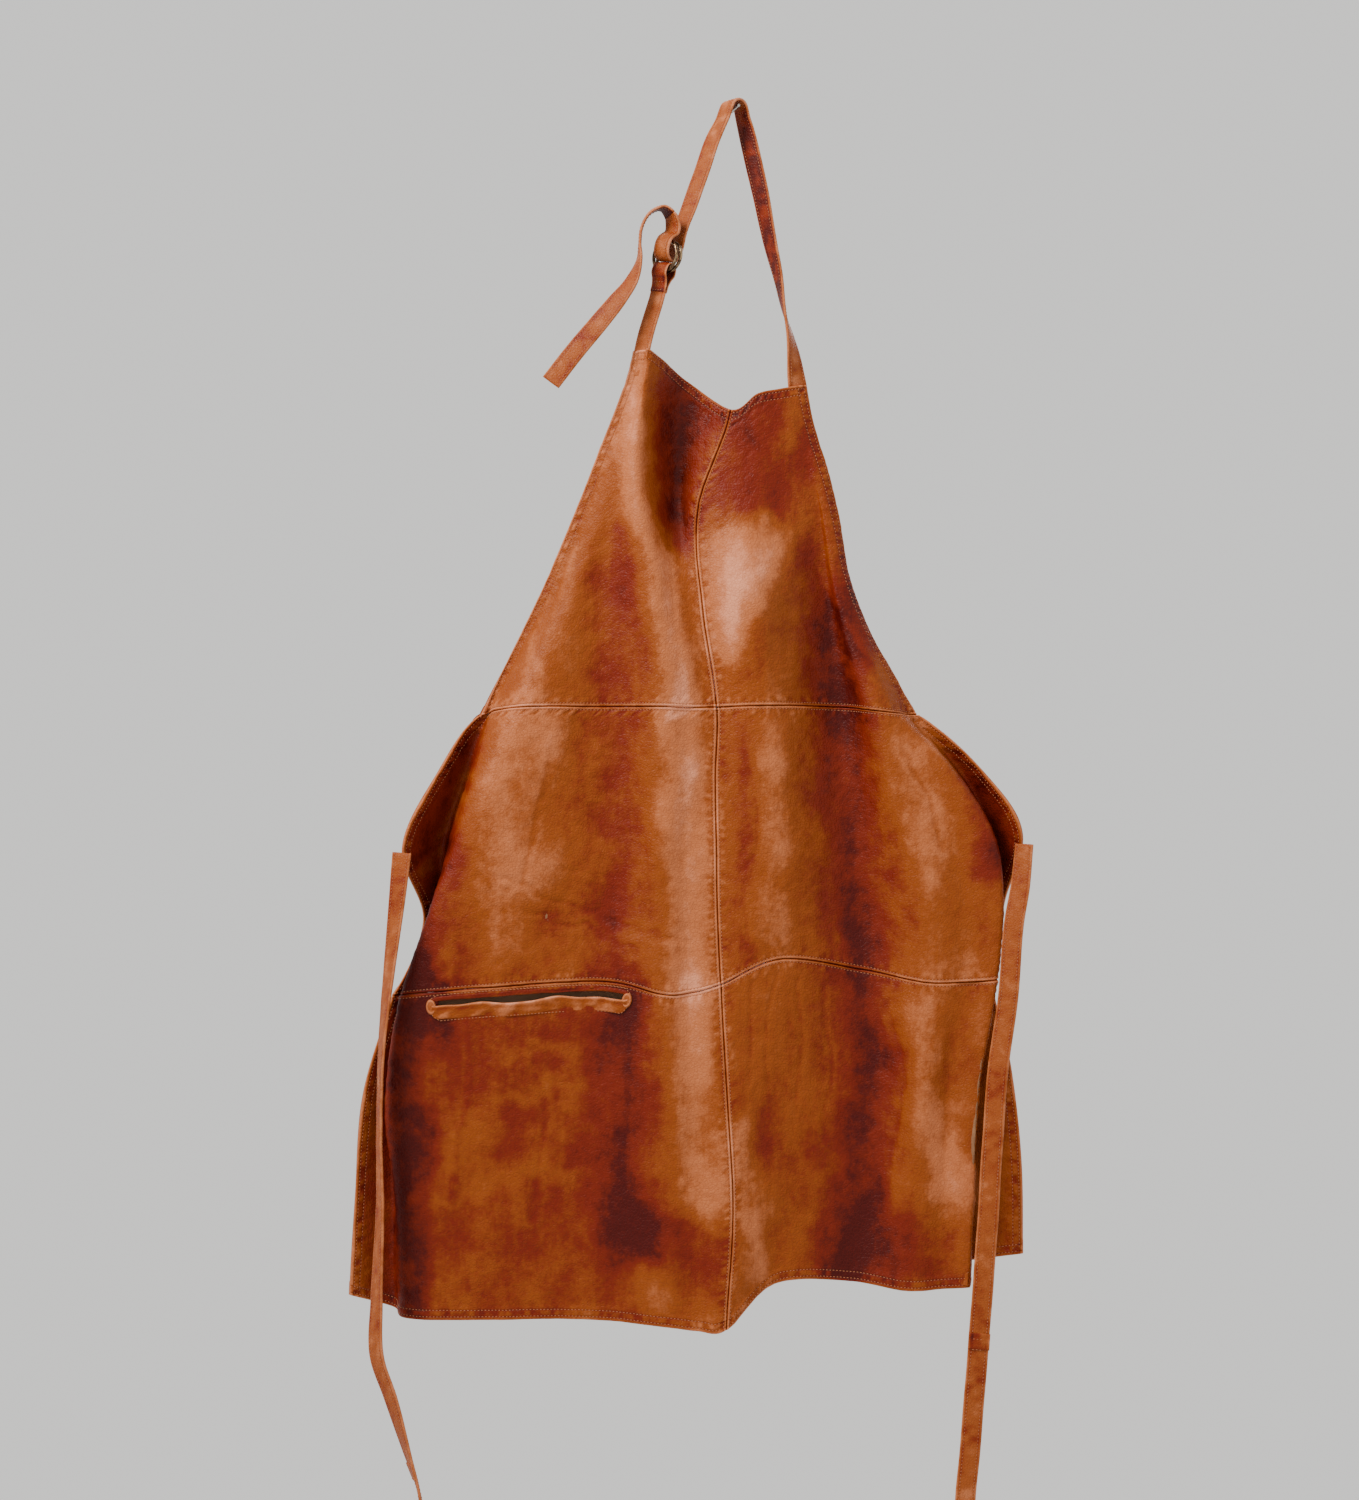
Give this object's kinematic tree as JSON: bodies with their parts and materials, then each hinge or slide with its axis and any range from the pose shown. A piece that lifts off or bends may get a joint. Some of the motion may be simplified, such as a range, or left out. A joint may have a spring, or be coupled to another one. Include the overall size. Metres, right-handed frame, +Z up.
{
  "type": "apron on a hook",
  "caption": "Leather work apron with a bib, seamed panels, a slit pocket, waist ties and a ring-adjusted neck strap, hanging from a short wall peg.",
  "frame": {"origin": "on the wall plane, straight behind the top of the neck strap, where the peg's collar sits", "axes": "+Z up, +Y into the wall, +X to the right as the apron is seen from the front"},
  "size_m": [0.6286, 0.0796, 1.5982],
  "materials": {
    "apron_leather": "waxed pull-up leather, warm tan with paler pulled ridges and darker hollows",
    "strap_leather": "waxed tan leather, folded, stitched and pebbled",
    "pocket_lining": "brown cotton twill lining",
    "old_brass": "antique brass wire",
    "steel": "plain steel"
  },
  "bodies": {
    "hook": {"hook_peg": "steel", "hook_collar": "steel"},
    "strap_crown": {"neck_strap_crown": "strap_leather"},
    "apron": {"neck_strap_left": "strap_leather", "neck_strap_right": "strap_leather", "anchor_strap": "strap_leather", "anchor_fold": "strap_leather", "bib_panel_left": "apron_leather", "bib_panel_right": "apron_leather", "waist_panel_left": "apron_leather", "waist_panel_right": "apron_leather", "skirt_panel_left": "apron_leather", "skirt_panel_right": "apron_leather", "pocket_lip_upper": "apron_leather", "pocket_lip_lower": "apron_leather", "pocket_bag": "pocket_lining"},
    "buckle_front": {"ring_front": "old_brass", "neck_strap_roll": "strap_leather"},
    "buckle_rear": {"ring_rear": "old_brass"},
    "strap_tail": {"neck_strap_tail": "strap_leather"},
    "tie_left": {"waist_tie_left_upper": "strap_leather", "waist_tie_left_lower": "strap_leather"},
    "tie_right": {"waist_tie_right_upper": "strap_leather", "waist_tie_right_lower": "strap_leather"}
  },
  "joints": [
    {"name": "strap_lift", "type": "slide", "parent": "hook", "child": "strap_crown", "axis": [0.3214, -0.383, 0.866], "range_m": [0, 0.25]},
    {"name": "apron_swing", "type": "hinge", "parent": "strap_crown", "child": "apron", "pos_m": [-0.003, -0.016, -0.0025], "axis": [0, 1, 0], "range_deg": [-8, 8]},
    {"name": "front_ring_tip", "type": "hinge", "parent": "apron", "child": "buckle_front", "pos_m": [-0.0698, -0.0426, -0.157], "axis": [0.7328, -0.6548, -0.185], "range_deg": [0, 12]},
    {"name": "rear_ring_tip", "type": "hinge", "parent": "apron", "child": "buckle_rear", "pos_m": [-0.0672, -0.0394, -0.1577], "axis": [0.7328, -0.6548, -0.185], "range_deg": [0, 4.8]},
    {"name": "tail_lift", "type": "hinge", "parent": "buckle_front", "child": "strap_tail", "pos_m": [-0.06, -0.0424, -0.1175], "axis": [-0.7328, 0.6548, 0.185], "range_deg": [0, 30]},
    {"name": "left_tie_swing", "type": "hinge", "parent": "apron", "child": "tie_left", "pos_m": [-0.308, -0.059, -0.692], "axis": [0, 1, 0], "range_deg": [-10, 45]},
    {"name": "right_tie_swing", "type": "hinge", "parent": "apron", "child": "tie_right", "pos_m": [0.2615, -0.059, -0.684], "axis": [0, 1, 0], "range_deg": [-45, 8]}
  ],
  "couplings": [
    {"joint": "rear_ring_tip", "follows": "front_ring_tip", "ratio": 0.4}
  ]
}
